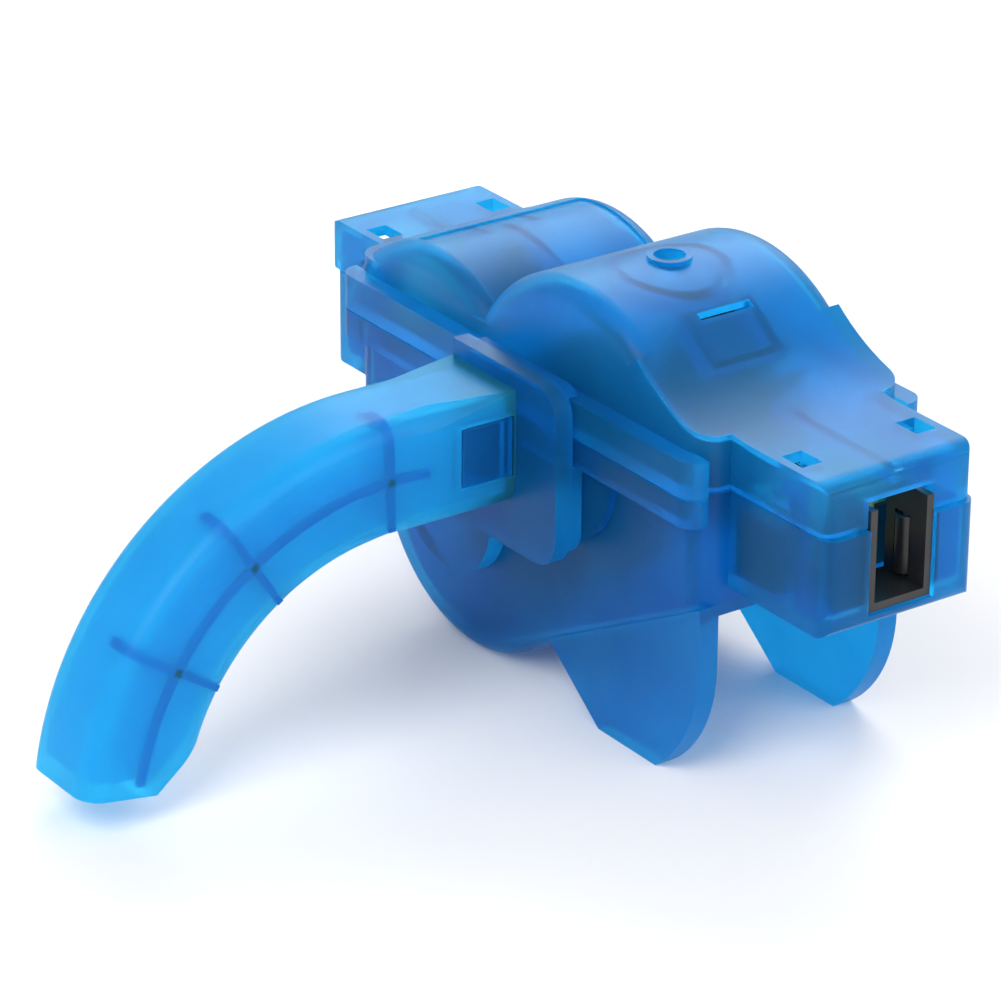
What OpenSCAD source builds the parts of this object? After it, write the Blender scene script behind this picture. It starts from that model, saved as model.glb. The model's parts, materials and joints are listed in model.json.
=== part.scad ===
// Bike chain cleaner: a two-part housing with brush wheels, chain guides and a handle on a side plate.
// The chain runs along X and leaves at +X. The handle reaches out to -Y, and +Z is up.
// The origin is on the floor, under the middle of the whole object's box.

/* [Body] */
// Length of the tank between its two end faces
tank_l = 145; // [140:1:152]
// Width of the wide middle part
wide_w = 43; // [42:0.5:46]
// Length of the narrow front end block
front_block_l = 26; // [25:0.5:27]
// Length of the narrow rear end block
rear_block_l = 15.5; // [14.5:0.5:16.5]
// Rounding of the wide part's upright corners
wide_r = 5; // [4:0.5:6]
// Width of the narrow end blocks
block_w = 31.6; // [31:0.2:33]
// Rounding of the end blocks' upright corners
block_r = 3; // [2.4:0.2:3.4]
// Wall thickness of tank and cover
wall = 2; // [1.6:0.1:2.2]
// Height of the joint line between tank and cover
parting_z = 54.5; // [54:0.1:55]
// Gap between loose pieces
gap = 0.3; // [0.25:0.05:0.35]

/* [Tank] */
// Radius of the round well at the tank's bottom
well_r = 29.5; // [29:0.25:30.5]
// Distance of the well's centre behind the middle
well_x = 21; // [20.5:0.5:22]
// Slope of the bottom from the well up to the front, in degrees
slope = 27.8; // [27:0.2:28.6]
// Height on the rear wall where the bottom's rear slant begins
rear_knee_z = 40; // [39:0.5:41]
// Height of the end blocks' underside
block_z = 36.8; // [36.2:0.2:37.2]
// Rounding of the tank's lower edges
tank_r = 3; // [2.6:0.1:3.2]
// Radius of the round bosses over the axle ends
boss_r = 13.2; // [12.4:0.2:13.8]
// How far the rear bosses stand out of the sides
rear_boss_h = 3.5; // [3:0.1:3.6]
// How far the front bosses stand out of the sides
front_boss_h = 1.5; // [1:0.1:1.6]

/* [Cover] */
// Distance of the front hump's centre before the middle
hump_x = 8; // [7.5:0.5:9]
// Height of the front hump's centre
hump_z = 47.5; // [47:0.25:48]
// Radius of the front hump
hump_r = 32; // [31.5:0.25:33]
// Distance of the rear hump's centre behind the middle
back_hump_x = 35; // [34.5:0.5:36]
// Height of the rear hump's centre
back_hump_z = 41.5; // [41:0.25:42]
// Radius of the rear hump
back_hump_r = 30; // [29.5:0.25:31]
// Radius of the hollow blend between front hump and deck
blend_r = 40; // [38:1:44]
// Rounding of the humps' shoulders
shoulder_r = 4; // [3.2:0.1:4.4]
// Height of the flat deck over the end blocks
deck_z = 64.3; // [64:0.1:65]
// How far the cover stands over the tank's rear face
overhang = 1.7; // [1.2:0.1:2]
// How far the cover's front face stays behind the tank's
front_inset = 1; // [0.6:0.1:1.2]
// Rounding of the deck's end edges
deck_r = 4; // [3:0.25:5]
// Depth of the label bed in the rear hump
bed_d = 0.4; // [0.3:0.05:0.5]
// Width of the label bed
bed_w = 35.6; // [34:0.2:36]
// Length of the label bed
bed_l = 23.4; // [22:0.2:24]
// Distance of the bed's middle behind the middle
bed_x = 30.4; // [30:0.2:31]
// Thickness of the ribs under the cover
rib_t = 1.8; // [1.4:0.1:2]

/* [Slots, windows and ports] */
// Width of the chain slots
slot_w = 13.8; // [13.4:0.1:14.4]
// Height of the slots' sill
slot_z = 39.2; // [39:0.1:39.5]
// Height of the cover's cut-outs over the slots
slot_top_z = 59.5; // [58.6:0.1:60]
// Length of a small window in the deck
window_l = 5.6; // [5:0.1:6]
// Width of a small window in the deck
window_w = 4.2; // [3.8:0.1:4.6]
// Distance from the tank's front end to the middle of the front windows
front_window_in = 12.3; // [11.9:0.1:12.5]
// Distance from the tank's rear end to the middle of the rear windows
rear_window_in = 11.1; // [10.7:0.1:11.5]
// Diameter of the filling port on the front hump
port_d = 5.6; // [5:0.1:6.4]
// Height of the rim round the port
port_rim_h = 0.7; // [0.4:0.1:1]
// Radius of the splash ring under the port
splash_r = 9.9; // [9.4:0.1:10.2]
// Depth of the splash ring below the hump's top
splash_h = 6; // [5:0.2:7]
// Width of the vent slot in front of the port
vent_w = 11.2; // [9:0.2:12]
// Length of the vent slot
vent_l = 1.6; // [1.2:0.1:2]
// Angle of the vent slot above the hump's centre line, in degrees
vent_angle = 60.5; // [58:0.5:63]

/* [Feet and rails] */
// Thickness of each foot plate
foot_t = 4; // [3.6:0.1:4.4]
// Distance from the middle to the rear end of a foot's flat bottom
foot_x = 18.8; // [18:0.2:20]
// Radius of a foot's front corner
foot_r = 27; // [26:0.5:28]
// Height of the middle of that corner
foot_z = 22; // [21:0.5:23]
// How far the rails stand out of the sides
rail_out = 3.5; // [3.3:0.1:3.7]
// Height of the rails' underside
rail_z = 49.5; // [49.2:0.1:50]
// Height of the rails' top
rail_top_z = 61.4; // [61:0.1:61.6]
// Length of the rails in front of the middle
rail_front = 47.5; // [46.5:0.5:48]

/* [Brush wheels] */
// Radius of the rear brush rings at the tips of the tufts
rear_brush_r = 24; // [23:0.25:24.5]
// Radius of the front brush rings at the tips of the tufts
front_brush_r = 22; // [21:0.25:22.5]
// Width of a brush ring
brush_w = 4; // [3.6:0.1:4.2]
// Number of tufts on each ring
tufts = 20; // [16:1:24]
// Radius of the wheel hubs under the brush rings
hub_r = 7; // [6:0.25:7.5]
// Radius of the hubs' ends
hub_end_r = 4; // [3.4:0.1:4.4]
// Distance of the rear wheel's axle behind the middle
rear_axle_x = 22.5; // [22:0.1:23]
// Height of the rear wheel's axle
rear_axle_z = 28.8; // [28.6:0.1:29.4]
// Distance of the front wheel's axle before the middle
front_axle_x = 9.5; // [9:0.1:10]
// Height of the front wheel's axle
front_axle_z = 47.5; // [47:0.1:48]
// Distance from the chain's plane to the middle of the rear wheel's rings
rear_ring_y = 7.6; // [7.4:0.1:7.8]
// Distance from the chain's plane to the middle of the front wheel's rings
front_ring_y = 13.2; // [13:0.1:13.4]
// Chain pitch that the teeth fit
pitch = 12.7; // [12.6:0.1:12.8]
// Radius of the chain's own rollers
link_r = 3.9; // [3.8:0.05:4]
// Thickness of the toothed discs
tooth_t = 2.2; // [1.8:0.1:2.3]
// Radius of the steel axles
axle_r = 1.5; // [1.3:0.05:1.6]
// Radial running clearance on axles and pins
run = 0.06; // [0.04:0.01:0.08]
// Outer radius of the axle sockets in the tank
socket_r = 4.2; // [3.6:0.1:4.6]
// Depth of the axle sockets from the side walls
socket_d = 3; // [2.6:0.1:3.2]

/* [Jockey wheel] */
// Radius of the jockey wheel
jockey_r = 8; // [7.4:0.1:8.2]
// Width of the jockey wheel
jockey_w = 8; // [7:0.2:8.4]
// Distance of its axle behind the middle
jockey_x = 42; // [41.5:0.1:42.5]
// Height of its axle
jockey_z = 57; // [56.8:0.1:57.4]
// Thickness of the arms that carry it
arm_t = 1.8; // [1.6:0.1:2]

/* [Chain guides] */
// Width of the guides' channel
channel_w = 10.4; // [10:0.1:10.8]
// Length of a guide inside the tank
guide_l = 8.6; // [8:0.1:9]
// Width of a guide inside the tank
guide_w = 18; // [17.4:0.1:18.4]
// Height of the guides' top
guide_top_z = 57.8; // [57:0.1:58]
// Height of the channel's floor
channel_z = 41; // [40.6:0.1:41.4]
// Radius of the guide rollers
roller_r = 1.9; // [1.7:0.05:2]
// Height of the guide rollers
roller_h = 10.6; // [9:0.2:11]
// Distance between the guide rollers' axes
roller_pitch = 12.2; // [12:0.1:12.6]
// Radius of the rollers' pins
pin_r = 0.75; // [0.6:0.05:0.8]

/* [Sponge] */
// Length of the sponge along the chain
sponge_l = 8; // [7:0.25:8.4]
// Height of the sponge's top
sponge_top_z = 55.2; // [54:0.1:55.4]
// Width of the sponge's slit
slit_w = 5; // [4:0.5:6]
// Wall thickness of the sponge's tray
tray_t = 1.2; // [1:0.1:1.3]
// Height of the tray's top
tray_top_z = 50; // [47:0.5:52]
// Distance from the tank's front end to the tray's middle
tray_in = 20.5; // [20.2:0.1:20.9]

/* [Cover catches] */
// Length of a catch post
post_l = 2; // [1.8:0.1:2.2]
// Length of a catch's nose
nose_l = 2.5; // [2.2:0.1:2.7]
// Thickness of a catch's nose
nose_t = 2.2; // [1.8:0.1:2.4]
// Width of a catch
catch_w = 2.3; // [2:0.1:2.4]
// Height of the catches' top
catch_top_z = 60.5; // [60:0.1:61]

/* [Handle] */
// Width of the handle
handle_w = 19; // [18:0.25:20]
// Depth of the handle
handle_d = 21.7; // [21.2:0.25:22.4]
// Height of the handle's top
handle_top_z = 61; // [60.6:0.1:61.4]
// Distance from the chain's plane to the start of the handle's bend
bend_y = 53.5; // [52:0.5:55]
// Radius of the handle's outer curve
bend_r = 63.5; // [62:0.5:65]
// Angle from the handle's flat top to its end face, in degrees
bend_angle = 81; // [78:0.5:83]
// Rounding of the handle's long edges
handle_r = 4; // [3:0.25:4.5]
// Wall thickness of the handle
handle_wall = 2; // [1.8:0.1:2.2]
// Radius of the finger grooves
finger_r = 10; // [9:0.5:12]
// Depth of the finger grooves
finger_d = 1.2; // [0.8:0.1:1.3]
// Depth of the handle's flat end
end_d = 14; // [13:0.5:15]
// Angle of the slant from the last finger groove to the end, in degrees
end_slant = 48; // [44:1:52]
// Length of the flare at the handle's root
flare_l = 19; // [16:0.5:21]
// Width of the window at the handle's root
root_window_w = 11; // [10:0.2:11.4]
// Height of that window
root_window_h = 11.4; // [10.4:0.2:11.8]

/* [Handle plate] */
// Distance from the chain's plane to the plate's outer face
plate_y = 29.6; // [29.2:0.1:30]
// Width of the plate
plate_w = 30.6; // [30:0.2:31.4]
// Height of the plate
plate_h = 33.4; // [33:0.1:34]
// Height of the plate's lower edge
plate_z = 30.8; // [30.4:0.1:31.2]
// Rounding of the plate's corners
plate_r = 6; // [5:0.25:7]
// Distance of the plate's rear edge behind the middle
plate_x = 14.2; // [13.8:0.1:14.8]

/* [Hidden] */
$fn = 96;

plastic = "royalblue";
pale_plastic = "deepskyblue";
black = [0.05, 0.05, 0.06];
steel = "silver";

// Overruns of cuts and overlaps of fused stretches
over = 1;
fuse = 0.4;

// Body
end_x = tank_l / 2;
wide_front = end_x - front_block_l;
wide_rear = end_x - rear_block_l;
front_window_x = end_x - front_window_in;
rear_window_x = end_x - rear_window_in;
tray_x = end_x - tray_in;
side_y = wide_w / 2;
block_y = block_w / 2;
cover_z = parting_z + gap;
cover_front = end_x - front_inset;
cover_rear = end_x + overhang;
rail_y = side_y + rail_out;
sill_y = slot_w / 2;

// Tank bottom: the slope leaves the well just inside its tangent
well_z = well_r;
knee_dx = wide_rear - well_x;
knee_dz = rear_knee_z - well_z;
knee_dist = norm([knee_dx, knee_dz]);
knee_angle = atan2(knee_dx, knee_dz) + acos(well_r / knee_dist);
slope_inset = 0.12;
foot_root_share = 0.2;
function slope_at(x) = well_z - (well_r - slope_inset) / cos(slope) + (x + well_x) * tan(slope);

// Handle's bend, in the plane across the chain
bend_z = handle_top_z - bend_r;
end_r = bend_r - end_d;
reach = bend_y + bend_r * sin(bend_angle);
handle_mid_x = handle_w / 2 - plate_x;
handle_mid_z = handle_top_z - handle_d / 2;
window_mid_z = handle_mid_z + finger_d / 2;
handle_face_x = handle_mid_x + handle_w / 2;
rib_shares = [0.01, 0.4, 0.69];
finger_shares = [0.02, 0.36, 0.69];

// Middle of the whole box
mid_x = (cover_front + front_inset - cover_rear) / 2;
mid_y = (rail_y - reach) / 2;

// Wheels
hub_half = side_y - wall - socket_d - gap;
axle_half = side_y - wall - run;
bore_r = axle_r + run;
rear_teeth = 7;
front_teeth = 6;
tooth_tip = 2.2;
tuft_root_share = 0.5;
tuft_tip_share = 0.42;
ring_core_r = hub_r * 2;
snap_share = 0.86;

// Shield under the vent slot: how far it reaches below and above it, and how far its end laps, in degrees
shield_below = 18;
shield_above = 5;
shield_lap = 3;
rim_share = 0.7;

// Jockey wheel
arm_y = jockey_w / 2 + 2 * gap;

// Guides
guide_x = end_x - wall - gap;
roller_x = guide_x - guide_l / 2;
roller_z = channel_z + gap * 2;
guide_low_z = block_z + wall + gap;
pin_low_z = (guide_low_z + channel_z) / 2;

// Sponge tray
tray_half_w = block_y - wall - gap;
tray_low_z = block_z + wall + gap;

// Catches
catch_y = block_y - wall - gap;
post_x = front_window_x + nose_l - post_l / 2;
back_post_x = rear_window_x - post_l / 2 - gap * 2;

// Handle plate
lug_y = rail_y + gap;
lip_y = side_y + front_boss_h + gap;
plate_mid_x = plate_w / 2 - plate_x;
plate_mid_z = plate_z + plate_h / 2;

module place() {
    translate([-mid_x, -mid_y, 0]) children();
}

// A rectangle with round corners, centred
module pill(w, h, r) {
    square([w - 2 * r, h], center = true);
    square([w, h - 2 * r], center = true);
    for (sx = [-1, 1], sy = [-1, 1])
        translate([sx * (w / 2 - r), sy * (h / 2 - r)]) circle(r);
}

// A drum along Y whose rims are rounded
module drum(x, z, r, half, rim) {
    translate([x, 0, z]) rotate([90, 0, 0]) rotate_extrude() intersection() {
        pill(2 * r, 2 * half, rim);
        translate([0, -half]) square([r, 2 * half]);
    }
}

// A rod along Y
module rod(x, z, r, y0, y1) {
    translate([x, y1, z]) rotate([90, 0, 0]) cylinder(r = r, h = y1 - y0);
}

// A box from its two corners
module box(low, high) {
    translate(low) cube(high - low);
}

// A side outline in X and Z, as thick as 2 * half across the chain
module side_plate(half) {
    translate([0, half, 0]) rotate([90, 0, 0]) linear_extrude(2 * half) children();
}

module both_sides() {
    children();
    mirror([0, 1, 0]) children();
}

module both_ends() {
    children();
    mirror([1, 0, 0]) children();
}

// Plan of the wide part, drawn in by d
module wide_plan(d) {
    length = wide_front + wide_rear - 2 * d;
    translate([(wide_front - wide_rear) / 2, 0]) pill(length, wide_w - 2 * d, wide_r - d);
}

// Plan of one end block from x0 to x1, drawn in by d
module block_plan(x0, x1, d) {
    translate([(x0 + x1) / 2, 0]) pill(abs(x1 - x0) - 2 * d, block_w - 2 * d, block_r - d);
}

// Side outline of the tank behind the well's middle, drawn in by d
module rear_side(d) {
    r = well_r - d;
    x = d * sin(knee_angle) - wide_rear;
    polygon([
        [x, parting_z + over],
        [x, rear_knee_z - d * cos(knee_angle)],
        [-well_x - r * sin(knee_angle), well_z + r * cos(knee_angle)],
        [-well_x, well_z],
        [-well_x, parting_z + over]]);
}

// A bar along the bottom's slope, whose lower edges are round and which starts inside the well
module slope_bar(d) {
    h = 2 * well_r;
    translate([-well_x, 0, well_z]) rotate([0, -slope, 0])
        translate([0, 0, h / 2 - well_r + d + slope_inset]) rotate([90, 0, 90])
            linear_extrude(tank_l) pill(wide_w - 2 * d, h, tank_r - d / 2);
}

// The tank's body as a solid, drawn in by d
module tank_body(d) {
    intersection() {
        linear_extrude(parting_z + over) wide_plan(d);
        union() {
            drum(-well_x, well_z, well_r - d, side_y - d, tank_r - d / 2);
            side_plate(side_y - d) rear_side(d);
            slope_bar(d);
        }
    }
    for (s = [-1, 1])
        block_body(s, d);
}

// One end block, whose outer lower edge is round
module block_body(s, d) {
    inner = s > 0 ? wide_front : wide_rear;
    low = block_z + d;
    top = parting_z + over;
    intersection() {
        translate([0, 0, low])
            linear_extrude(top - low) block_plan(s * (inner - wide_r - block_r), s * end_x, d);
        translate([s * (end_x - d - block_w), 0, low + block_w])
            rotate([90, 0, 0]) linear_extrude(block_w, center = true)
                pill(2 * block_w, 2 * block_w, block_r);
    }
}

// A foot plate's outline
module foot_side() {
    intersection() {
        polygon([
            [foot_x, 0],
            [wide_front, 0],
            [wide_front, slope_at(wide_front) + wall],
            [foot_x * foot_root_share, slope_at(foot_x * foot_root_share) + wall]]);
        union() {
            translate([wide_front - foot_r, foot_z]) circle(foot_r);
            square([wide_front - foot_r, foot_z]);
            translate([0, foot_z]) square([wide_front, parting_z]);
        }
    }
}

module rail(z0, z1, x1) {
    y0 = side_y - fuse;
    translate([(x1 - wide_rear) / 2, 0, z0]) linear_extrude(z1 - z0) difference() {
        pill(x1 + wide_rear, 2 * rail_y, rail_out);
        square([x1 + wide_rear + over, 2 * y0], center = true);
    }
}

// A catch: an upright post with a nose that points back
module catch(x, z0) {
    y0 = catch_y - catch_w;
    box([x - post_l / 2, y0, z0], [x + post_l / 2, catch_y, catch_top_z]);
    box([x - post_l / 2 - nose_l, y0, catch_top_z - nose_t], [x, catch_y, catch_top_z]);
    box([x - post_l / 2, y0, z0], [x + post_l / 2, block_y - wall + fuse, parting_z]);
}

// A socket for an axle's end, with a narrow mouth that the axle snaps through
module socket(x, z) {
    rod(x, z, socket_r, hub_half + gap, side_y - wall + fuse);
}

module socket_cut(x, z) {
    y0 = hub_half;
    y1 = side_y - wall;
    rod(x, z, bore_r, y0, y1);
    box([x - bore_r * snap_share, y0, z], [x + bore_r * snap_share, y1, z + socket_r + over]);
}

module tank() color(plastic) place() {
    difference() {
        union() {
            intersection() {
                tank_body(0);
                linear_extrude(parting_z) square(4 * end_x, center = true);
            }
            both_sides() translate([0, side_y - foot_t / 2, 0]) side_plate(foot_t / 2) foot_side();
            rail(rail_z, parting_z, rail_front);
            both_sides() rod(-rear_axle_x, rear_axle_z, boss_r, side_y - fuse, side_y + rear_boss_h);
            both_sides() rod(front_axle_x, front_axle_z, boss_r, side_y - fuse, side_y + front_boss_h);
        }
        tank_body(wall);
        box([-end_x, -rail_y, parting_z], [end_x, rail_y, parting_z + boss_r]);
        both_ends() box([end_x - block_w / 2, -sill_y, slot_z], [end_x + over, sill_y, parting_z + over]);
    }
    both_sides() difference() {
        union() {
            socket(-rear_axle_x, rear_axle_z);
            socket(front_axle_x, front_axle_z);
        }
        socket_cut(-rear_axle_x, rear_axle_z);
        socket_cut(front_axle_x, front_axle_z);
    }
    both_sides() {
        catch(post_x, block_z + wall - fuse);
        catch(-back_post_x, block_z + wall - fuse);
    }
}

// Side outline of the blend from the front hump to the deck, drawn in by d
module blend_side(d) {
    z = deck_z + blend_r;
    x = hump_x + sqrt(pow(hump_r + blend_r, 2) - pow(z - hump_z, 2));
    share = hump_r / (hump_r + blend_r);
    difference() {
        polygon([
            [hump_x, cover_z],
            [hump_x + (x - hump_x) * share, hump_z + (z - hump_z) * share],
            [x, z],
            [x, cover_z]]);
        translate([x, z]) circle(blend_r + d);
    }
}

// Side outline of the whole cover, drawn in by d
module cover_side(d) {
    low = cover_z - over;
    top = deck_z - d;
    translate([(cover_front - cover_rear) / 2, low / 2 + top / 2])
        pill(cover_front + cover_rear - 2 * d, top - low, deck_r - d);
    translate([-cover_rear + d, low]) square([cover_front + cover_rear - 2 * d, deck_r + over]);
    blend_side(d);
}

// The cover's body as a solid, drawn in by d
module cover_body(d) {
    intersection() {
        union() {
            linear_extrude(2 * hump_z) wide_plan(d);
            linear_extrude(2 * hump_z) block_plan(-cover_rear, cover_front, d);
        }
        side_plate(side_y) cover_side(d);
    }
    drum(hump_x, hump_z, hump_r - d, side_y - d, shoulder_r - d);
    drum(-back_hump_x, back_hump_z, back_hump_r - d, side_y - d, shoulder_r - d);
}

// The shallow bed in the rear hump
module label_bed() {
    difference() {
        box([-bed_x - bed_l / 2, -bed_w / 2, hump_z],
            [-bed_x + bed_l / 2, bed_w / 2, 2 * hump_z]);
        rod(-back_hump_x, back_hump_z, back_hump_r - bed_d, -side_y, side_y);
    }
}

// The ring that keeps splashes away from the port
module splash_ring() {
    intersection() {
        translate([hump_x, 0, hump_z + hump_r - splash_h]) difference() {
            cylinder(r = splash_r + wall / 2, h = splash_h);
            translate([0, 0, -over]) cylinder(r = splash_r - wall / 2, h = splash_h + 2 * over);
        }
        rod(hump_x, hump_z, hump_r - wall / 2, -side_y, side_y);
    }
}

// A curved shield under the vent slot, open towards the rear
module vent_shield() {
    outer = hump_r - wall / 2;
    inner = hump_r - 3 * wall;
    a0 = vent_angle - shield_below;
    a1 = vent_angle + shield_above;
    half = vent_w / 2 + wall;
    translate([hump_x, 0, hump_z]) difference() {
        side_plate(half) intersection() {
            difference() {
                circle(outer);
                circle(inner);
            }
            polygon([[0, 0], 2 * outer * [cos(a0), sin(a0)], 2 * outer * [cos(a1), sin(a1)]]);
        }
        side_plate(vent_w / 2) intersection() {
            difference() {
                circle(hump_r);
                circle(inner + wall / 2);
            }
            polygon([[0, 0],
                2 * hump_r * [cos(a0 + shield_lap), sin(a0 + shield_lap)],
                2 * hump_r * [cos(a1 + shield_lap), sin(a1 + shield_lap)]]);
        }
    }
}

// Two arms under the rear hump that carry the jockey wheel
module jockey_arms() {
    both_sides() difference() {
        intersection() {
            union() {
                box([-jockey_x - jockey_r / 2, arm_y, jockey_z],
                    [-jockey_x + jockey_r / 2, arm_y + arm_t, back_hump_z + back_hump_r]);
                rod(-jockey_x, jockey_z, jockey_r / 2, arm_y, arm_y + arm_t);
            }
            rod(-back_hump_x, back_hump_z, back_hump_r - wall / 2, -side_y, side_y);
        }
        rod(-jockey_x, jockey_z, bore_r, arm_y - over, arm_y + arm_t + over);
    }
}

// Middle ribs under the decks and under the rear hump
module ribs() {
    z0 = deck_z - wall - rib_t;
    z1 = deck_z - wall / 2;
    x0 = hump_x + hump_r - wall;
    box([x0, -rib_t / 2, z0], [cover_front - wall / 2, rib_t / 2, z1]);
    box([-cover_rear + wall / 2, -rib_t / 2, z0], [-wide_rear, rib_t / 2, z1]);
    intersection() {
        difference() {
            rod(-back_hump_x, back_hump_z, back_hump_r - wall / 2, -rib_t / 2, rib_t / 2);
            rod(-back_hump_x, back_hump_z, back_hump_r - wall - rib_t, -rib_t, rib_t);
        }
        box([-bed_x - bed_l / 2 + wall, -rib_t, back_hump_z],
            [-bed_x + bed_l / 2 - wall, rib_t, back_hump_z + back_hump_r]);
    }
}

// The ledge that a catch's nose holds down
module ledge(x) {
    y0 = catch_y - catch_w;
    z1 = catch_top_z - nose_t - gap;
    box([x - nose_l - post_l / 2 - post_l, y0, z1 - nose_t],
        [x - post_l / 2 - gap, block_y - wall + fuse, z1]);
}

module window(x) {
    translate([x, catch_y - window_w / 2 + 2 * gap, deck_z])
        cube([window_l, window_w, 2 * deck_r], center = true);
}

module cover() color(pale_plastic) place() {
    difference() {
        union() {
            intersection() {
                cover_body(0);
                box([-end_x - block_w, -side_y, cover_z], [end_x, side_y, 2 * hump_z]);
            }
            rail(cover_z, rail_top_z, rail_front);
            translate([hump_x, 0, hump_z]) cylinder(r = port_d * rim_share, h = hump_r + port_rim_h);
        }
        cover_body(wall);
        translate([hump_x, 0, hump_z]) cylinder(d = port_d, h = hump_r + 2 * port_rim_h);
        both_ends() box([end_x - block_w / 2, -sill_y, 0], [cover_rear + over, sill_y, slot_top_z]);
        both_sides() {
            window(front_window_x);
            window(-rear_window_x);
        }
        translate([hump_x, 0, hump_z]) rotate([0, -vent_angle, 0])
            translate([hump_r, 0, 0]) cube([4 * wall, vent_w, vent_l], center = true);
        label_bed();
    }
    splash_ring();
    vent_shield();
    jockey_arms();
    ribs();
    both_sides() {
        ledge(post_x);
        ledge(-back_post_x);
    }
}

// A toothed disc for the chain, with n teeth
module chainwheel(n) {
    r = pitch / 2 / sin(180 / n);
    rotate([90, 0, 0]) linear_extrude(tooth_t, center = true) difference() {
        circle(r + tooth_tip);
        for (i = [0:n - 1])
            rotate(360 / n * i) translate([r, 0]) circle(link_r);
    }
}

// A wheel's hub with its teeth, for brush rings at ring_y
module wheel(x, z, n, ring_y) {
    difference() {
        union() {
            translate([x, 0, z]) chainwheel(n);
            rod(x, z, hub_r, -ring_y - brush_w / 2, ring_y + brush_w / 2);
            rod(x, z, hub_end_r, -hub_half, hub_half);
        }
        rod(x, z, bore_r, -side_y, side_y);
    }
}

// A ring of bristle tufts on a core, r in radius at their tips
module tuft_ring(x, y, z, r) {
    turn = 360 / tufts;
    root = turn * tuft_root_share / 2;
    tip = turn * tuft_tip_share / 2;
    translate([x, y, z]) rotate([90, 0, 0]) linear_extrude(brush_w, center = true) difference() {
        polygon([for (i = [0:tufts - 1]) each [
            ring_core_r * [cos(turn * i - root), sin(turn * i - root)],
            r * [cos(turn * i - tip), sin(turn * i - tip)],
            r * [cos(turn * i + tip), sin(turn * i + tip)],
            ring_core_r * [cos(turn * i + root), sin(turn * i + root)]]]);
        circle(hub_r + run);
    }
}

module rear_wheel() color(black) place() {
    wheel(-rear_axle_x, rear_axle_z, rear_teeth, rear_ring_y);
}

module rear_brush_left() color(black) place() {
    tuft_ring(-rear_axle_x, rear_ring_y, rear_axle_z, rear_brush_r);
}

module rear_brush_right() color(black) place() {
    tuft_ring(-rear_axle_x, -rear_ring_y, rear_axle_z, rear_brush_r);
}

module front_wheel() color(black) place() {
    wheel(front_axle_x, front_axle_z, front_teeth, front_ring_y);
}

module front_brush_left() color(black) place() {
    tuft_ring(front_axle_x, front_ring_y, front_axle_z, front_brush_r);
}

module front_brush_right() color(black) place() {
    tuft_ring(front_axle_x, -front_ring_y, front_axle_z, front_brush_r);
}

module rear_axle() color(steel) place() {
    rod(-rear_axle_x, rear_axle_z, axle_r, -axle_half, axle_half);
}

module front_axle() color(steel) place() {
    rod(front_axle_x, front_axle_z, axle_r, -axle_half, axle_half);
}

module jockey_axle() color(steel) place() {
    rod(-jockey_x, jockey_z, axle_r, -arm_y - arm_t, arm_y + arm_t);
}

module jockey_wheel() color(black) place() {
    half = jockey_w / 2;
    difference() {
        union() {
            rod(-jockey_x, jockey_z, jockey_r - rib_t, -half, half);
            both_sides() rod(-jockey_x, jockey_z, jockey_r, half - rib_t / 2, half);
        }
        rod(-jockey_x, jockey_z, bore_r, -side_y, side_y);
    }
}

// Side outline of a guide's base, whose lower front edge follows the block's rounding
module guide_side(x0) {
    r = block_r - gap;
    translate([guide_x - r, guide_low_z + r]) circle(r);
    translate([x0, guide_low_z]) square([guide_x - r - x0, parting_z - guide_low_z]);
    translate([x0, guide_low_z + r]) square([guide_x - x0, parting_z - guide_low_z - r]);
}

// A channel for the chain, with pockets for two upright rollers
module guide() {
    x0 = guide_x - guide_l;
    pocket_r = roller_r + gap;
    difference() {
        union() {
            side_plate(guide_w / 2) guide_side(x0);
            box([x0, -sill_y + gap, slot_z + gap], [end_x - 2 * gap, sill_y - gap, guide_top_z]);
        }
        box([x0 - over, -channel_w / 2, channel_z], [end_x, channel_w / 2, guide_top_z + over]);
        both_sides() translate([roller_x, roller_pitch / 2, 0]) {
            translate([0, 0, roller_z - gap]) cylinder(r = pocket_r, h = roller_h + 2 * gap);
            translate([0, 0, pin_low_z]) cylinder(r = pin_r + run, h = parting_z);
        }
    }
}

// One guide roller, y to the left of the chain's plane
module roller(y) {
    translate([roller_x, y, roller_z]) difference() {
        cylinder(r = roller_r, h = roller_h);
        translate([0, 0, -over]) cylinder(r = pin_r + run, h = roller_h + 2 * over);
    }
}

module pins() {
    both_sides() translate([roller_x, roller_pitch / 2, pin_low_z])
        cylinder(r = pin_r, h = parting_z - gap - pin_low_z);
}

module front_guide() color(black) place() guide();

module front_roller_left() color(black) place() roller(roller_pitch / 2);

module front_roller_right() color(black) place() roller(-roller_pitch / 2);

module front_roller_pins() color(steel) place() pins();

module rear_guide() color(black) place() mirror([1, 0, 0]) guide();

module rear_roller_left() color(black) place() mirror([1, 0, 0]) roller(roller_pitch / 2);

module rear_roller_right() color(black) place() mirror([1, 0, 0]) roller(-roller_pitch / 2);

module rear_roller_pins() color(steel) place() mirror([1, 0, 0]) pins();

module sponge() color("khaki") place() {
    half = tray_half_w - tray_t - gap;
    difference() {
        box([tray_x - sponge_l / 2, -half, tray_low_z + tray_t + gap],
            [tray_x + sponge_l / 2, half, sponge_top_z]);
        box([tray_x - sponge_l, -slit_w / 2, channel_z + wall],
            [tray_x + sponge_l, slit_w / 2, sponge_top_z + over]);
    }
}

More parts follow.
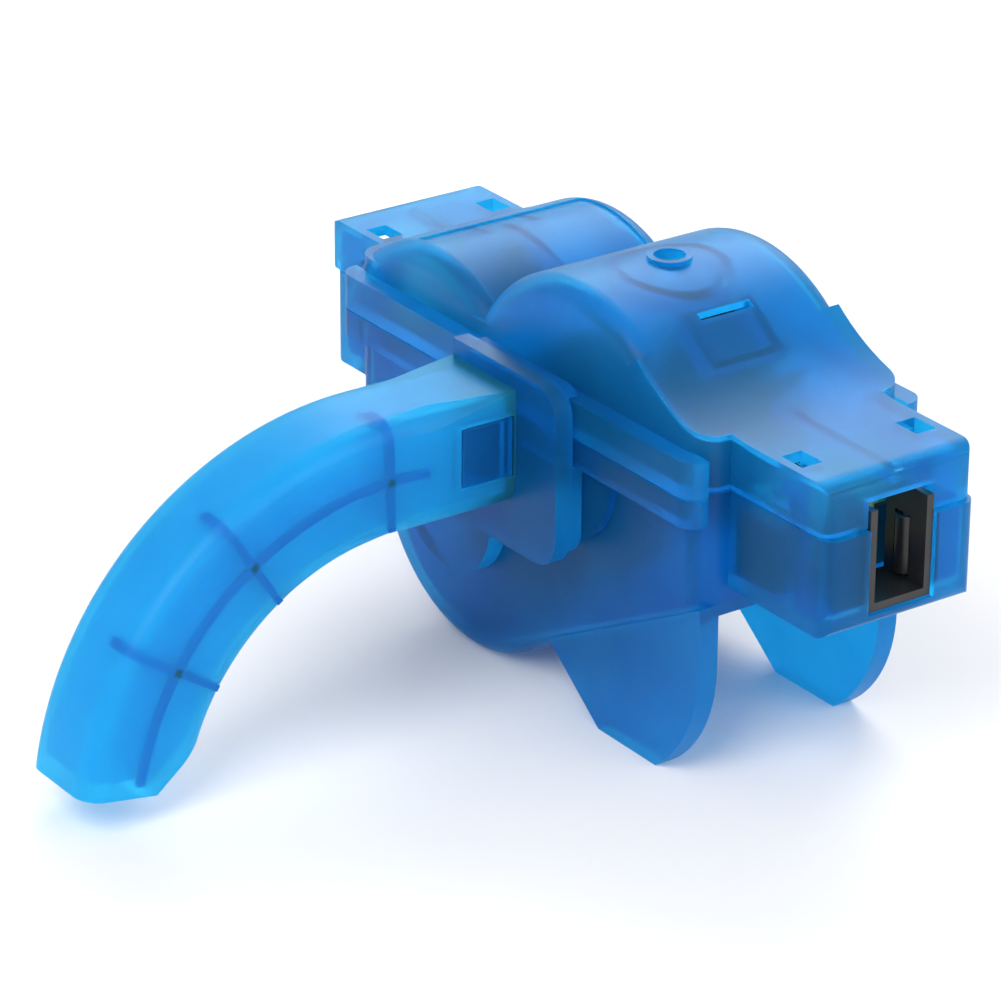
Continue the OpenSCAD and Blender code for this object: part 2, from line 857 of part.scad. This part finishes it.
module sponge_tray() color(black) place() {
    half_l = sponge_l / 2 + gap;
    half_w = tray_half_w - tray_t;
    difference() {
        box([tray_x - half_l - tray_t, -tray_half_w, tray_low_z],
            [tray_x + half_l + tray_t, tray_half_w, tray_top_z]);
        box([tray_x - half_l, -half_w, tray_low_z + tray_t],
            [tray_x + half_l, half_w, tray_top_z + over]);
        box([tray_x - sponge_l, -sill_y, channel_z], [tray_x + sponge_l, sill_y, tray_top_z + over]);
    }
}

// A section swept round the handle's bend, from angle a0 to a1
module bend(a0, a1) {
    translate([handle_mid_x, -bend_y, bend_z]) rotate([180, -90, 0]) rotate([0, 0, a0])
        rotate_extrude(angle = a1 - a0) translate([bend_r - handle_d / 2, 0]) children();
}

// The handle's section, drawn in by d
module section(d) {
    pill(handle_d - 2 * d, handle_w - 2 * d, handle_r - d);
}

// What the slant at the handle's end takes away, moved in by d
module end_cut(d) {
    translate([handle_mid_x, -bend_y, bend_z]) rotate([bend_angle, 0, 0])
        translate([0, 0, end_r]) rotate([end_slant, 0, 0])
            translate([-handle_w, -2 * handle_d, -2 * handle_d])
                cube([2 * handle_w, 2 * handle_d + d, 4 * handle_d]);
}

// The handle as a solid, drawn in by d
module grip(d) {
    stop = bend_angle - atan2(d, bend_r - handle_d);
    translate([handle_mid_x, -plate_y, handle_mid_z]) rotate([90, 0, 0])
        linear_extrude(bend_y - plate_y) rotate(90) section(d);
    difference() {
        bend(0, stop) section(d);
        end_cut(d);
    }
}

// The flare of the handle's root, from its rounded top edges up to the plate's square corner
module flare() {
    rear = handle_face_x - handle_w;
    low = handle_top_z - handle_r;
    y0 = -plate_y;
    y1 = -plate_y - flare_l;
    polyhedron(
        points = [
            [rear, y0, low],
            [handle_face_x, y0, low],
            [handle_face_x, y0, handle_top_z],
            [rear, y0, plate_z + plate_h],
            [rear, y1, low],
            [handle_face_x, y1, low],
            [handle_face_x - handle_r, y1, handle_top_z],
            [rear + handle_r, y1, handle_top_z]],
        faces = [
            [0, 1, 2, 3], [4, 7, 6, 5], [1, 0, 4, 5],
            [3, 2, 6], [3, 6, 7], [5, 6, 2], [5, 2, 1], [0, 3, 7], [0, 7, 4]]);
}

// Grooves for the fingers along the handle's inner curve
module finger_grooves() {
    r = bend_r - handle_d - finger_r + finger_d;
    for (share = finger_shares)
        translate([handle_mid_x, -bend_y, bend_z]) rotate([bend_angle * share, 0, 0])
            translate([-handle_w, 0, r]) rotate([0, 90, 0]) cylinder(r = finger_r, h = 2 * handle_w);
}

// Half of the handle, hollow, on the side given by s
module grip_half(s) {
    x0 = s > 0 ? handle_mid_x : handle_mid_x - handle_w;
    intersection() {
        difference() {
            union() {
                grip(0);
                flare();
            }
            difference() {
                grip(handle_wall);
                box([x0, -plate_y - handle_wall / 2, 0], [x0 + handle_w, -side_y, handle_top_z]);
            }
            finger_grooves();
        }
        box([x0, -2 * reach, 0], [x0 + handle_w, 0, handle_top_z]);
    }
}

// Stiffening ribs inside the handle's front half
module grip_ribs() {
    d = handle_wall - fuse;
    w = handle_w / 2 - d;
    a = atan2(rib_t, bend_r);
    bend(0, bend_angle - a) translate([-rib_t / 2, 0]) square([rib_t, w]);
    for (share = rib_shares)
        bend(bend_angle * share, bend_angle * share + a)
            translate([d - handle_d / 2, 0]) square([handle_d - 2 * d, w]);
}

module handle_front_half() color(plastic) place() {
    y0 = -plate_y - gap - root_window_w;
    difference() {
        grip_half(1);
        translate([handle_face_x, y0 + root_window_w / 2, window_mid_z])
            cube([4 * handle_wall, root_window_w, root_window_h], center = true);
    }
    grip_ribs();
}

module handle_rear_half() color(plastic) place() grip_half(-1);

// The button fills the root's window, with a flange behind it that clears the root's end wall
module release_button() color(plastic) place() {
    y0 = -plate_y - root_window_w;
    y1 = -plate_y - handle_wall / 2 - gap;
    h = root_window_h / 2 - gap;
    x1 = handle_face_x - handle_wall - gap;
    translate([0, 0, window_mid_z]) {
        box([x1, y0, -h], [handle_face_x, -plate_y - 2 * gap, h]);
        box([x1 - handle_wall, y0, -h - handle_wall / 2], [x1, y1, h + handle_wall / 2]);
    }
}

// Outline of the handle's plate, drawn in by d, with one square corner
module plate_outline(d) {
    w = plate_w - 2 * d;
    h = plate_h - 2 * d;
    pill(w, h, plate_r - d);
    translate([-w / 2, h / 2 - plate_r]) square(plate_r);
}

module handle_plate() color(plastic) place() {
    step = wall / 2;
    translate([plate_mid_x, 0, plate_mid_z]) {
        translate([0, -lug_y - step, 0]) rotate([90, 0, 0])
            linear_extrude(plate_y - lug_y - step) plate_outline(0);
        translate([0, -lug_y, 0]) rotate([90, 0, 0])
            linear_extrude(2 * step) plate_outline(step);
    }
    difference() {
        translate([plate_mid_x, -lip_y, plate_mid_z]) rotate([90, 0, 0])
            linear_extrude(lug_y - lip_y) plate_outline(step);
        box([plate_mid_x - plate_w, -lug_y - over, rail_z - gap],
            [plate_mid_x + plate_w, 0, rail_top_z + gap]);
        rod(-rear_axle_x, rear_axle_z, boss_r + 2 * gap, -lug_y - over, 0);
    }
}

tank();
cover();
jockey_axle();
jockey_wheel();
rear_axle();
rear_wheel();
rear_brush_left();
rear_brush_right();
front_axle();
front_wheel();
front_brush_left();
front_brush_right();
front_guide();
front_roller_left();
front_roller_right();
front_roller_pins();
rear_guide();
rear_roller_left();
rear_roller_right();
rear_roller_pins();
sponge();
sponge_tray();
handle_front_half();
handle_rear_half();
handle_plate();
release_button();
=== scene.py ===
# Bike chain cleaner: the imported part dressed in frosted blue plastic, on a pale floor.
import json
import math

import bmesh
import bpy
from mathutils import Matrix, Vector


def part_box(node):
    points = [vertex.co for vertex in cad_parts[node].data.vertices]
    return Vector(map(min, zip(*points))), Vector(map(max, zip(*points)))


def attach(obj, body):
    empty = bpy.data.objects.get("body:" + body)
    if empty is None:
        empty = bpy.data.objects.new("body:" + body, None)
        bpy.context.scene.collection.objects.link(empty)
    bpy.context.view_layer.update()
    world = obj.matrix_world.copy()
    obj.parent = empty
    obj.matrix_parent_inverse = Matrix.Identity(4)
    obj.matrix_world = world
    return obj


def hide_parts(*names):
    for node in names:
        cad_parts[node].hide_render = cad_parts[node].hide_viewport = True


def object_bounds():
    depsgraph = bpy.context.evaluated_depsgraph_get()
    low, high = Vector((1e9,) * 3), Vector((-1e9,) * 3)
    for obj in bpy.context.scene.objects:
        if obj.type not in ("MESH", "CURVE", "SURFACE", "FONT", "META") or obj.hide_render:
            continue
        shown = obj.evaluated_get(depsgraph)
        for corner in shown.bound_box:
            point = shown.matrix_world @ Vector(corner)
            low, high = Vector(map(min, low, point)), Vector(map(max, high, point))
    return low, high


MM = 0.001
WELD = 0.002 * MM  # loose triangles closer than this are one
FLAT = math.radians(0.05)  # faces at less than this angle are one flat face
SHARP = math.radians(50)  # edges over this angle are rounded
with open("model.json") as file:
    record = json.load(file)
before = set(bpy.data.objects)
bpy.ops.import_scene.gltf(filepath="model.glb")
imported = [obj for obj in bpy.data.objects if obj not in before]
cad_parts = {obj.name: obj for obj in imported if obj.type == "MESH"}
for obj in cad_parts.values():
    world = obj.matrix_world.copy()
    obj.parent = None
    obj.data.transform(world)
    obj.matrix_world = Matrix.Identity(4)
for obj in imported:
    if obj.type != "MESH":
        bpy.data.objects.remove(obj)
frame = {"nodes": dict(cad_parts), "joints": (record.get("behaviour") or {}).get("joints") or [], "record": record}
cad_low, cad_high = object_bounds()
bodies = frame["record"]["behaviour"]["bodies"]
body_of = {node: body for body, nodes in bodies.items() for node in nodes}
joints = {joint["name"]: joint for joint in frame["joints"]}
slots = {part["node"]: part["material_slot"] for part in frame["record"]["subparts"]}


# Materials

def new_material(name):
    """A node material and its tools: the tree, the main shader and the Object coordinates."""
    material = bpy.data.materials.new(name)
    material.use_nodes = True
    tree = material.node_tree
    shader = tree.nodes["Principled BSDF"]
    place = tree.nodes.new("ShaderNodeTexCoord")
    return material, tree, shader, place.outputs["Object"]


def noise(tree, place, scale, detail=2.0, roughness=0.5):
    node = tree.nodes.new("ShaderNodeTexNoise")
    node.inputs["Scale"].default_value = scale
    node.inputs["Detail"].default_value = detail
    node.inputs["Roughness"].default_value = roughness
    tree.links.new(place, node.inputs["Vector"])
    return node.outputs["Fac"]


def between(tree, value, low, high):
    """Spreads a 0 to 1 value between two numbers."""
    node = tree.nodes.new("ShaderNodeMapRange")
    node.inputs["To Min"].default_value = low
    node.inputs["To Max"].default_value = high
    tree.links.new(value, node.inputs["Value"])
    return node.outputs["Result"]


def ramp(tree, value, dark, light, start=0.3, end=0.7):
    """Mixes two colours by a value."""
    node = tree.nodes.new("ShaderNodeValToRGB")
    node.color_ramp.elements[0].position = start
    node.color_ramp.elements[0].color = (*dark, 1)
    node.color_ramp.elements[1].position = end
    node.color_ramp.elements[1].color = (*light, 1)
    tree.links.new(value, node.inputs["Fac"])
    return node.outputs["Color"]


def bump(tree, shader, value, height, strength=0.5):
    node = tree.nodes.new("ShaderNodeBump")
    node.inputs["Distance"].default_value = height
    node.inputs["Strength"].default_value = strength
    tree.links.new(value, node.inputs["Height"])
    tree.links.new(node.outputs["Normal"], shader.inputs["Normal"])


def frosted(name, dark, light, clear, glow):
    """Frosted see-through plastic: part clear, part glowing with the light behind it."""
    material, tree, shader, place = new_material(name)
    cloud = noise(tree, place, 55, 3)
    colour = ramp(tree, cloud, dark, light)
    tree.links.new(colour, shader.inputs["Base Color"])
    grain = noise(tree, place, 2600, 2, 0.6)
    tree.links.new(between(tree, grain, 0.30, 0.42), shader.inputs["Roughness"])
    bump(tree, shader, grain, 0.02 * MM, 0.35)
    shader.inputs["Transmission Weight"].default_value = clear
    shader.inputs["IOR"].default_value = 1.25
    shader.inputs["Specular IOR Level"].default_value = 0.35
    through = tree.nodes.new("ShaderNodeBsdfTranslucent")
    tree.links.new(colour, through.inputs["Color"])
    mix = tree.nodes.new("ShaderNodeMixShader")
    mix.inputs["Fac"].default_value = glow
    tree.links.new(shader.outputs["BSDF"], mix.inputs[1])
    tree.links.new(through.outputs["BSDF"], mix.inputs[2])
    tree.links.new(mix.outputs["Shader"], tree.nodes["Material Output"].inputs["Surface"])
    return material


def moulded_black(name, dark, light, rough):
    """Black moulded plastic with a fine spark-eroded grain."""
    material, tree, shader, place = new_material(name)
    tree.links.new(ramp(tree, noise(tree, place, 90, 3), dark, light), shader.inputs["Base Color"])
    grain = noise(tree, place, 1800, 3, 0.6)
    tree.links.new(between(tree, grain, rough - 0.06, rough + 0.08), shader.inputs["Roughness"])
    bump(tree, shader, grain, 0.03 * MM, 0.4)
    return material


def turned_steel():
    """Plain turned steel rod, with rings round its length."""
    material, tree, shader, place = new_material("turned_steel")
    shader.inputs["Metallic"].default_value = 1.0
    tree.links.new(ramp(tree, noise(tree, place, 400, 2), (0.5, 0.51, 0.52), (0.68, 0.69, 0.7)),
        shader.inputs["Base Color"])
    rings = noise(tree, place, 3000, 1)
    tree.links.new(between(tree, rings, 0.22, 0.4), shader.inputs["Roughness"])
    bump(tree, shader, rings, 0.01 * MM, 0.3)
    return material


def sponge_foam():
    """Open-cell foam, pale yellow, its small pores darkened with painted shade."""
    material, tree, shader, place = new_material("sponge_foam")
    pores = tree.nodes.new("ShaderNodeTexVoronoi")
    pores.inputs["Scale"].default_value = 900
    tree.links.new(place, pores.inputs["Vector"])
    # Painted shade: the colour darkens towards each pore's middle; the bump below gives the pores their relief
    tree.links.new(ramp(tree, pores.outputs["Distance"], (0.42, 0.33, 0.12), (0.86, 0.76, 0.42), 0.05, 0.5),
        shader.inputs["Base Color"])
    shader.inputs["Roughness"].default_value = 0.95
    bump(tree, shader, pores.outputs["Distance"], 0.4 * MM, 0.8)
    return material


finishes = {
    "tank_plastic": frosted("frosted_deep_blue", (0.012, 0.36, 0.76), (0.02, 0.43, 0.83), 0.9, 0.16),
    "cover_plastic": frosted("frosted_mid_blue", (0.016, 0.43, 0.80), (0.025, 0.51, 0.88), 0.9, 0.16),
    "handle_plastic": frosted("frosted_light_blue", (0.05, 0.62, 0.92), (0.07, 0.69, 0.97), 0.85, 0.3),
    # Painted shade: the grip's rib strips get a dark opaque blue with no clearness or glow, for the shade lines
    # where the ribs meet the wall
    "handle_rib_painted_shade": frosted("painted_shade_rib_blue", (0.004, 0.10, 0.42), (0.006, 0.13, 0.48), 0.0, 0.0),
    "wheel_plastic": moulded_black("black_wheel_plastic", (0.012, 0.013, 0.016), (0.03, 0.032, 0.036), 0.45),
    "guide_plastic": moulded_black("black_guide_plastic", (0.006, 0.006, 0.007), (0.018, 0.018, 0.02), 0.32),
    "bristle": moulded_black("black_bristle", (0.01, 0.011, 0.014), (0.04, 0.042, 0.05), 0.5),
    "steel": turned_steel(),
    "sponge": sponge_foam(),
}


# Pieces

def finish_piece(piece, node, finish=None):
    """Gives a piece its node's finish, or another one named, and makes it ride where the node rides."""
    piece.data.materials.clear()
    piece.data.materials.append(finishes[finish or slots[node]])
    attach(piece, body_of[node])


def shade(bm, angle=35):
    """Smooth faces whose edges over the given angle stay sharp."""
    for face in bm.faces:
        face.smooth = True
    for edge in bm.edges:
        edge.smooth = len(edge.link_faces) == 2 and edge.calc_face_angle(0) < math.radians(angle)


def merged_copy(node):
    """A bmesh of the node's own shape, its loose triangles welded."""
    bm = bmesh.new()
    bm.from_mesh(frame["nodes"][node].data)
    bmesh.ops.remove_doubles(bm, verts=bm.verts, dist=WELD)
    return bm


def mesh_piece(bm, name):
    """Puts a bmesh into a new object of the scene."""
    mesh = bpy.data.meshes.new(name)
    bm.to_mesh(mesh)
    bm.free()
    piece = bpy.data.objects.new(name, mesh)
    bpy.context.scene.collection.objects.link(piece)
    return piece


def join_flat_faces(bm):
    """Makes one face of the triangles that lie flat together."""
    bmesh.ops.dissolve_limit(bm, angle_limit=FLAT, verts=bm.verts, edges=bm.edges)


def round_edges(piece, radius):
    """Joins a piece's flat faces and rounds its sharp edges."""
    bm = bmesh.new()
    bm.from_mesh(piece.data)
    join_flat_faces(bm)
    shade(bm)
    bm.to_mesh(piece.data)
    bm.free()
    bevel = piece.modifiers.new("round", "BEVEL")
    bevel.width = radius
    bevel.segments = 2
    bevel.limit_method = "ANGLE"
    bevel.angle_limit = SHARP
    bevel.use_clamp_overlap = True
    bevel.harden_normals = True


def rounded(node, radius):
    """The node's own shape, merged, with its sharp edges rounded."""
    piece = mesh_piece(merged_copy(node), node + "_shell")
    round_edges(piece, radius)
    finish_piece(piece, node)
    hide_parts(node)


def handle_shell():
    """Both halves of the handle welded into one shell without a seam."""
    front = mesh_piece(merged_copy("handle_front_half"), "front_copy")
    rear = mesh_piece(merged_copy("handle_rear_half"), "rear_copy")
    weld = front.modifiers.new("weld", "BOOLEAN")
    weld.operation = "UNION"
    weld.solver = "EXACT"
    weld.object = rear
    solid = front.evaluated_get(bpy.context.evaluated_depsgraph_get())
    bm = bmesh.new()
    bm.from_mesh(solid.to_mesh())
    solid.to_mesh_clear()
    bpy.data.objects.remove(front)
    bpy.data.objects.remove(rear)
    piece = mesh_piece(bm, "handle_shell")
    round_edges(piece, 0.25 * MM)
    finish_piece(piece, "handle_front_half")
    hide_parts("handle_front_half", "handle_rear_half")


def sweep_round(bm, outline, bend, start, angle, steps):
    """Sweeps an outline of (x, radius) points round the grip's bend, whose axis runs along x."""
    corners = [bm.verts.new((x, bend.y, bend.z + radius)) for x, radius in outline]
    flat = bm.faces.new(corners)
    bmesh.ops.rotate(bm, verts=corners, cent=bend, matrix=Matrix.Rotation(start, 3, "X"))
    bmesh.ops.spin(bm, geom=[flat] + flat.edges[:] + corners, cent=bend, axis=(1, 0, 0),
        angle=angle, steps=steps, use_merge=False)


def grip_ribs():
    """Thin strips inside the grip, close under its skin along its ribs, in a dark opaque blue: painted shade for
    the dark lines the ribs show through the wall.
    """
    bend_radius = 63.5 * MM  # of the grip's outer curve
    bend_turn = 81  # degrees from the straight root to the grip's end
    root_to_bend = 23.9 * MM
    top = 61 * MM
    skin = 0.35 * MM  # plastic left outside the ribs
    thickness = 1.55 * MM
    outer_corner = 3.65 * MM
    inner_corner = 2.1 * MM
    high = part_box("handle_front_half")[1]
    bend = Vector((0, high.y - root_to_bend, top - bend_radius))
    face = high.x - skin
    back = face - thickness
    outer = bend_radius - skin
    inner = bend_radius - 20.1 * MM
    bm = bmesh.new()

    # The long rib runs along the middle of the grip's side
    middle = bend_radius - 10.85 * MM
    half = 0.7 * MM
    strip = [(back, middle - half), (face, middle - half), (face, middle + half), (back, middle + half)]
    sweep_round(bm, strip, bend, math.radians(-7), math.radians(86), 48)

    # The three cross ribs go up the side and turn over onto the top
    turns = [math.radians(a) for a in (0, 22, 45, 68, 90)]
    outside = [(face - outer_corner * (1 - math.cos(a)), outer - outer_corner * (1 - math.sin(a)))
        for a in turns]
    under = outer - thickness
    inside = [(back - inner_corner * (1 - math.cos(a)), under - inner_corner * (1 - math.sin(a)))
        for a in reversed(turns)]
    end = face - 6.5 * MM
    hook = [(back, inner), (face, inner)] + outside + [(end, outer), (end, under)] + inside
    for share in (0.01, 0.4, 0.69):
        sweep_round(bm, hook, bend, math.radians(bend_turn * share), math.radians(1.5), 2)

    bmesh.ops.recalc_face_normals(bm, faces=bm.faces)
    piece = mesh_piece(bm, "grip_ribs")
    # The strips take the dark rib blue, which is painted shade and not the ribs' own colour
    finish_piece(piece, "handle_front_half", "handle_rib_painted_shade")


# How far the sharp edges of each node are rounded, in millimetres
edge_rounding = {
    "tank": 0.35, "cover": 0.35, "handle_plate": 0.6, "release_button": 0.4,
    "rear_wheel": 0.2, "front_wheel": 0.2, "jockey_wheel": 0.3,
    "front_guide": 0.3, "rear_guide": 0.3, "sponge_tray": 0.25,
    "front_axle": 0.3, "rear_axle": 0.3, "jockey_axle": 0.3,
    "front_roller_left": 0.3, "front_roller_right": 0.3,
    "rear_roller_left": 0.3, "rear_roller_right": 0.3,
    "front_roller_pins": 0.15, "rear_roller_pins": 0.15,
}
for node, radius in edge_rounding.items():
    rounded(node, radius * MM)
handle_shell()
grip_ribs()


def sponge_block():
    """The sponge as a soft block with swollen faces."""
    bm = merged_copy("sponge")
    join_flat_faces(bm)
    bmesh.ops.bevel(bm, geom=bm.edges[:], offset=0.7 * MM, segments=3, affect="EDGES",
        profile=0.5, material=-1, clamp_overlap=True)
    shade(bm, 60)
    piece = mesh_piece(bm, "sponge_block")
    finish_piece(piece, "sponge")
    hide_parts("sponge")


def brush_ring(node, axle):
    """A ring of bristle tufts on a smooth core, filling the node's own space."""
    low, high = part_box(node)
    centre = Vector(joints[axle]["pos_m"])
    centre.y = (low.y + high.y) / 2
    half = (high.y - low.y) / 2
    tip = (high.z - low.z) / 2
    core = tip * 0.58
    rim = core * 0.94
    bore = 7.06 * MM
    bm = bmesh.new()
    ring = [bm.verts.new((r, y, 0)) for r, y in
        ((bore, -half * 0.9), (rim, -half * 0.9), (core, -half * 0.7),
         (core, half * 0.7), (rim, half * 0.9), (bore, half * 0.9))]
    profile = [bm.edges.new((ring[i], ring[(i + 1) % len(ring)])) for i in range(len(ring))]
    bmesh.ops.spin(bm, geom=ring + profile, cent=(0, 0, 0), axis=(0, 1, 0), angle=math.tau,
        steps=64, use_merge=True)
    tufts, rows, strands = 20, 3, 5
    for tuft in range(tufts):
        middle = math.tau * tuft / tufts
        for row in range(rows):
            for strand in range(strands):
                share = (strand + 0.5) / strands - 0.5
                side = (row - 1) * half
                foot = middle + share * 0.17
                head = middle + share * 0.30 * 0.55
                uneven = ((strand * 7 + row * 3 + tuft * 5) % 5) / 4
                reach = tip * (0.985 - 0.03 * uneven)
                add_strand(bm, foot, head, core * 0.97, reach, side * 0.62, side * 0.22)
    bmesh.ops.recalc_face_normals(bm, faces=bm.faces)
    bmesh.ops.translate(bm, verts=bm.verts, vec=centre)
    shade(bm, 40)
    piece = mesh_piece(bm, node + "_bristles")
    finish_piece(piece, node)
    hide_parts(node)


def add_strand(bm, foot, head, inner, outer, y, spread):
    """One bristle from the core's surface outwards, a thin tapered rod of four sides."""
    start = Vector((math.cos(foot) * inner, y, math.sin(foot) * inner))
    end = Vector((math.cos(head) * outer, y + spread, math.sin(head) * outer))
    axis = end - start
    turn = axis.to_track_quat("Z", "Y").to_matrix().to_4x4()
    place = Matrix.Translation((start + end) / 2) @ turn
    bmesh.ops.create_cone(bm, cap_ends=True, segments=4, radius1=0.28 * MM, radius2=0.2 * MM,
        depth=axis.length, matrix=place)


sponge_block()
for end in ("rear", "front"):
    for side in ("left", "right"):
        brush_ring(f"{end}_brush_{side}", f"{end}_wheel_spin")


# Studio

def backdrop():
    """A pale floor that turns white for the camera but keeps the object's shadow."""
    bm = bmesh.new()
    bmesh.ops.create_grid(bm, x_segments=1, y_segments=1, size=30)
    floor = mesh_piece(bm, "floor")
    material, tree, shader, place = new_material("pale_floor")
    shader.inputs["Base Color"].default_value = (0.86, 0.86, 0.86, 1)
    shader.inputs["Roughness"].default_value = 0.7
    floor.data.materials.append(material)


def white_world():
    """Even light from all round, seen as white by the camera, in gloss and through clear plastic."""
    world = bpy.data.worlds.new("studio")
    bpy.context.scene.world = world
    world.use_nodes = True
    tree = world.node_tree
    light = tree.nodes["Background"]
    light.inputs["Color"].default_value = (1, 1, 1, 1)
    light.inputs["Strength"].default_value = 0.55
    seen = tree.nodes.new("ShaderNodeBackground")
    seen.inputs["Strength"].default_value = 1.0
    seen.inputs["Color"].default_value = (1, 1, 1, 1)
    path = tree.nodes.new("ShaderNodeLightPath")
    either = path.outputs["Is Camera Ray"]
    for ray in ("Is Glossy Ray", "Is Transmission Ray"):
        larger = tree.nodes.new("ShaderNodeMath")
        larger.operation = "MAXIMUM"
        tree.links.new(either, larger.inputs[0])
        tree.links.new(path.outputs[ray], larger.inputs[1])
        either = larger.outputs["Value"]
    mix = tree.nodes.new("ShaderNodeMixShader")
    tree.links.new(either, mix.inputs["Fac"])
    tree.links.new(light.outputs["Background"], mix.inputs[1])
    tree.links.new(seen.outputs["Background"], mix.inputs[2])
    tree.links.new(mix.outputs["Shader"], tree.nodes["World Output"].inputs["Surface"])


def soft_box(name, place, target, size, power):
    """A square area lamp that faces its target."""
    lamp = bpy.data.lights.new(name, "AREA")
    lamp.shape = "SQUARE"
    lamp.size = size
    lamp.energy = power
    holder = bpy.data.objects.new(name, lamp)
    holder.location = place
    holder.rotation_euler = (Vector(target) - Vector(place)).to_track_quat("-Z", "Y").to_euler()
    bpy.context.scene.collection.objects.link(holder)


def photo_camera():
    """The camera where the photograph was taken from, worked out from the object's straight edges."""
    azimuth, elevation, roll = (math.radians(a) for a in (54.618, 24.697, 0.427))
    back = Vector((math.sin(azimuth) * math.cos(elevation), -math.cos(azimuth) * math.cos(elevation),
        math.sin(elevation)))
    right = Vector((math.cos(azimuth), math.sin(azimuth), 0))
    up = back.cross(right)
    turned_right = math.cos(roll) * right + math.sin(roll) * up
    turned_up = math.cos(roll) * up - math.sin(roll) * right
    # The tank's middle lies off the origin, which is under the middle of the whole box
    tank_low, tank_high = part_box("tank")
    tank_middle = Vector(((tank_low.x + tank_high.x) / 2, (tank_low.y + tank_high.y) / 2, 0))
    place = Vector((620.01, -469.66, 388.25)) * MM + tank_middle
    camera = bpy.data.cameras.new("photo_camera")
    camera.lens = 36 * 4859 / 1001
    camera.sensor_width = 36
    camera.clip_start = 0.05
    camera.clip_end = 100
    holder = bpy.data.objects.new("photo_camera", camera)
    turn = Matrix((turned_right, turned_up, back)).transposed().to_4x4()
    holder.matrix_world = Matrix.Translation(place) @ turn
    bpy.context.scene.collection.objects.link(holder)
    bpy.context.scene.camera = holder


backdrop()
white_world()
middle = (cad_low + cad_high) / 2
soft_box("key", (0.35, -0.75, 0.85), middle, 0.7, 9)
soft_box("fill", (0.9, 0.25, 0.5), middle, 0.8, 5)
soft_box("rim", (-0.6, 0.6, 0.7), middle, 0.7, 6)
photo_camera()

bpy.context.scene.view_settings.view_transform = "Standard"
